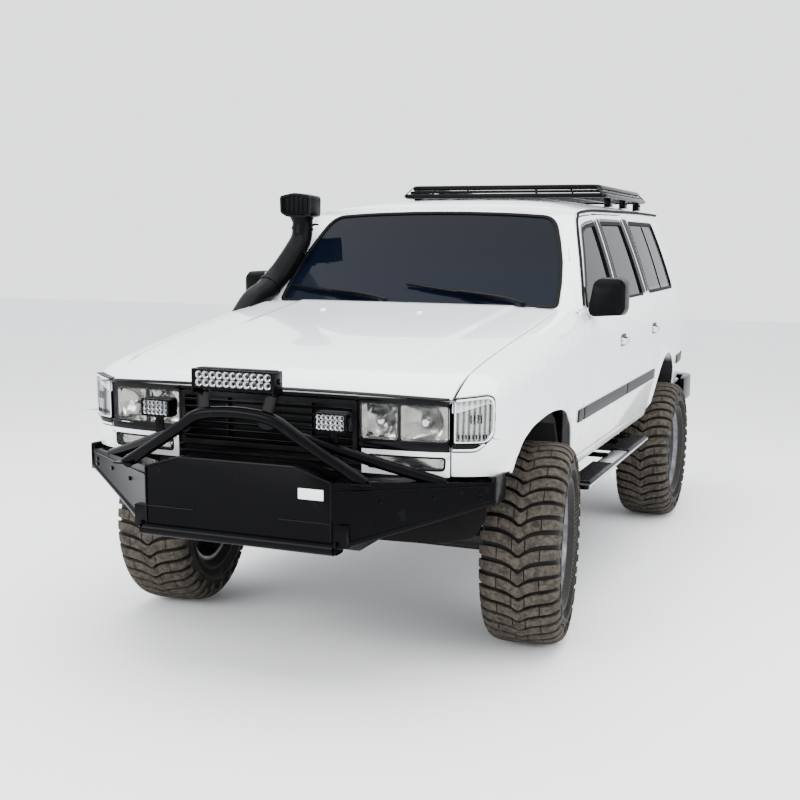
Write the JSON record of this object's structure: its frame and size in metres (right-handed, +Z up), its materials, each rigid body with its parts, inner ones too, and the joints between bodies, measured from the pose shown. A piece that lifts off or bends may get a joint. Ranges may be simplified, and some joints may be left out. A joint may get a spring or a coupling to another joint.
{
  "type": "four-wheel-drive estate car",
  "caption": "Lifted five-door off-road estate with steel front bumper and hoop, snorkel, half-length roof rack, side steps and large mud tyres; doors, bonnet, split tailgate, steering and wheels move.",
  "frame": {"origin": "on the floor, under the middle of the overall length and width", "axes": "+Y towards the rear, +X towards the vehicle's left, +Z up; the front faces -Y"},
  "size_m": [2.1394, 4.982, 2.1102],
  "materials": {
    "white_paint": "gloss",
    "black_steel": "satin powder coat",
    "black_plastic": "fine grain",
    "tinted_glass": "dark tint",
    "clear_lens": "fluted clear",
    "red_lens": "gloss",
    "cast_iron": "dusty cast metal",
    "seat_cloth": "woven cloth",
    "tyre_rubber": "dusty rubber",
    "wheel_alloy": "dark satin"
  },
  "bodies": {
    "chassis": {"chassis_frame": "black_steel", "body_shell": "white_paint", "front_apron": "white_paint", "grille": "black_plastic", "windscreen": "tinted_glass", "front_bumper": "black_steel", "bumper_hoop": "black_steel", "light_bar": "black_steel", "snorkel": "black_plastic", "roof_rack": "black_steel", "rear_bumper": "black_steel", "engine": "cast_iron", "gearbox": "cast_iron", "fuel_tank": "black_plastic", "exhaust": "cast_iron", "front_axle": "cast_iron", "rear_axle": "cast_iron", "dashboard": "black_plastic", "rear_seat": "seat_cloth", "wiper_left": "black_plastic", "wiper_right": "black_plastic", "front_fender_left": "white_paint", "front_fender_right": "white_paint", "headlamp_left": "clear_lens", "headlamp_right": "clear_lens", "quarter_glass_left": "tinted_glass", "quarter_glass_right": "tinted_glass", "side_step_left": "black_steel", "side_step_right": "black_steel", "tail_lamp_left": "red_lens", "tail_lamp_right": "red_lens", "front_seat_left": "seat_cloth", "front_seat_right": "seat_cloth"},
    "bonnet": {"bonnet": "white_paint"},
    "door_front_left": {"door_front_left": "white_paint", "glass_front_left": "tinted_glass", "mirror_left": "black_plastic"},
    "door_rear_left": {"door_rear_left": "white_paint", "glass_rear_left": "tinted_glass"},
    "door_front_right": {"door_front_right": "white_paint", "glass_front_right": "tinted_glass", "mirror_right": "black_plastic"},
    "door_rear_right": {"door_rear_right": "white_paint", "glass_rear_right": "tinted_glass"},
    "tailgate_upper": {"tailgate_upper": "white_paint", "rear_glass": "tinted_glass"},
    "tailgate_lower": {"tailgate_lower": "white_paint"},
    "knuckle_left": {"knuckle_left": "cast_iron"},
    "knuckle_right": {"knuckle_right": "cast_iron"},
    "tie_rod": {"tie_rod": "cast_iron"},
    "wheel_front_left": {"tyre_front_left": "tyre_rubber", "rim_front_left": "wheel_alloy"},
    "wheel_front_right": {"tyre_front_right": "tyre_rubber", "rim_front_right": "wheel_alloy"},
    "wheel_rear_left": {"tyre_rear_left": "tyre_rubber", "rim_rear_left": "wheel_alloy"},
    "wheel_rear_right": {"tyre_rear_right": "tyre_rubber", "rim_rear_right": "wheel_alloy"}
  },
  "joints": [
    {"name": "bonnet_hinge", "type": "hinge", "parent": "chassis", "child": "bonnet", "pos_m": [0, -0.82522, 1.41833], "axis": [-1, 0, 0], "range_deg": [0, 50]},
    {"name": "door_front_left_hinge", "type": "hinge", "parent": "chassis", "child": "door_front_left", "pos_m": [0.92, -0.86483, 1.01741], "axis": [0, 0.0209, -0.9998], "range_deg": [0, 70]},
    {"name": "door_rear_left_hinge", "type": "hinge", "parent": "chassis", "child": "door_rear_left", "pos_m": [0.92, 0.12496, 1.03814], "axis": [0, 0.0209, -0.9998], "range_deg": [0, 70]},
    {"name": "door_front_right_hinge", "type": "hinge", "parent": "chassis", "child": "door_front_right", "pos_m": [-0.92, -0.86483, 1.01741], "axis": [0, -0.0209, 0.9998], "range_deg": [0, 70]},
    {"name": "door_rear_right_hinge", "type": "hinge", "parent": "chassis", "child": "door_rear_right", "pos_m": [-0.92, 0.12496, 1.03814], "axis": [0, -0.0209, 0.9998], "range_deg": [0, 70]},
    {"name": "tailgate_upper_hinge", "type": "hinge", "parent": "chassis", "child": "tailgate_upper", "pos_m": [0, 2.1184, 1.94509], "axis": [1, 0, 0], "range_deg": [0, 95]},
    {"name": "tailgate_lower_hinge", "type": "hinge", "parent": "chassis", "child": "tailgate_lower", "pos_m": [0, 2.32066, 0.88409], "axis": [-1, 0, 0], "range_deg": [0, 90]},
    {"name": "steer_left", "type": "hinge", "parent": "chassis", "child": "knuckle_left", "pos_m": [0.69, -1.44785, 0.43227], "axis": [0, 0, 1], "range_deg": [-36, 20]},
    {"name": "steer_right", "type": "hinge", "parent": "chassis", "child": "knuckle_right", "pos_m": [-0.69, -1.44785, 0.43227], "axis": [0, 0, 1], "range_deg": [-36, 20]},
    {"name": "tie_rod_pivot", "type": "hinge", "parent": "knuckle_left", "child": "tie_rod", "pos_m": [0.66217, -1.24979, 0.33827], "axis": [0, 0, 1], "range_deg": [-20, 36]},
    {"name": "wheel_front_left_spin", "type": "hinge", "parent": "knuckle_left", "child": "wheel_front_left", "pos_m": [0.85042, -1.4253, 0.43227], "axis": [0.9903, 0.1392, 0], "continuous": true},
    {"name": "wheel_front_right_spin", "type": "hinge", "parent": "knuckle_right", "child": "wheel_front_right", "pos_m": [-0.85042, -1.47039, 0.43227], "axis": [0.9903, 0.1392, 0], "continuous": true},
    {"name": "wheel_rear_left_spin", "type": "hinge", "parent": "chassis", "child": "wheel_rear_left", "pos_m": [0.852, 1.40215, 0.43227], "axis": [1, 0, 0], "continuous": true},
    {"name": "wheel_rear_right_spin", "type": "hinge", "parent": "chassis", "child": "wheel_rear_right", "pos_m": [-0.852, 1.40215, 0.43227], "axis": [1, 0, 0], "continuous": true}
  ],
  "couplings": [
    {"joint": "steer_right", "follows": "steer_left", "ratio": 1},
    {"joint": "tie_rod_pivot", "follows": "steer_left", "ratio": -1}
  ]
}
